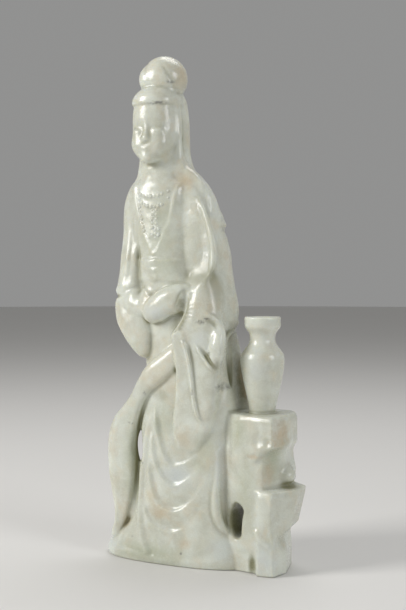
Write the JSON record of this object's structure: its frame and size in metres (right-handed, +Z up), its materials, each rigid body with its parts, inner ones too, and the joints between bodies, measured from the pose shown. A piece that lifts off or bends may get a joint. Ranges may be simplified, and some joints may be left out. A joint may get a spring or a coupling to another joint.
{
  "type": "guanyin figure",
  "caption": "Standing robed guanyin carved in pale polished jade, hands laid together at the waist, with a long scarf, a stepped rock and a small vase at the side",
  "frame": {"origin": "middle of the underside, on the surface that the figure stands on", "axes": "+Z up through the hair knot, the figure faces -Y, the rock and the vase are on the +X side"},
  "size_m": [0.0826, 0.033, 0.2],
  "materials": {
    "jade": "polished stone, pale grey-green with russet and milky patches"
  },
  "bodies": {
    "root": {"guanyin_figure": "jade"}
  },
  "joints": []
}
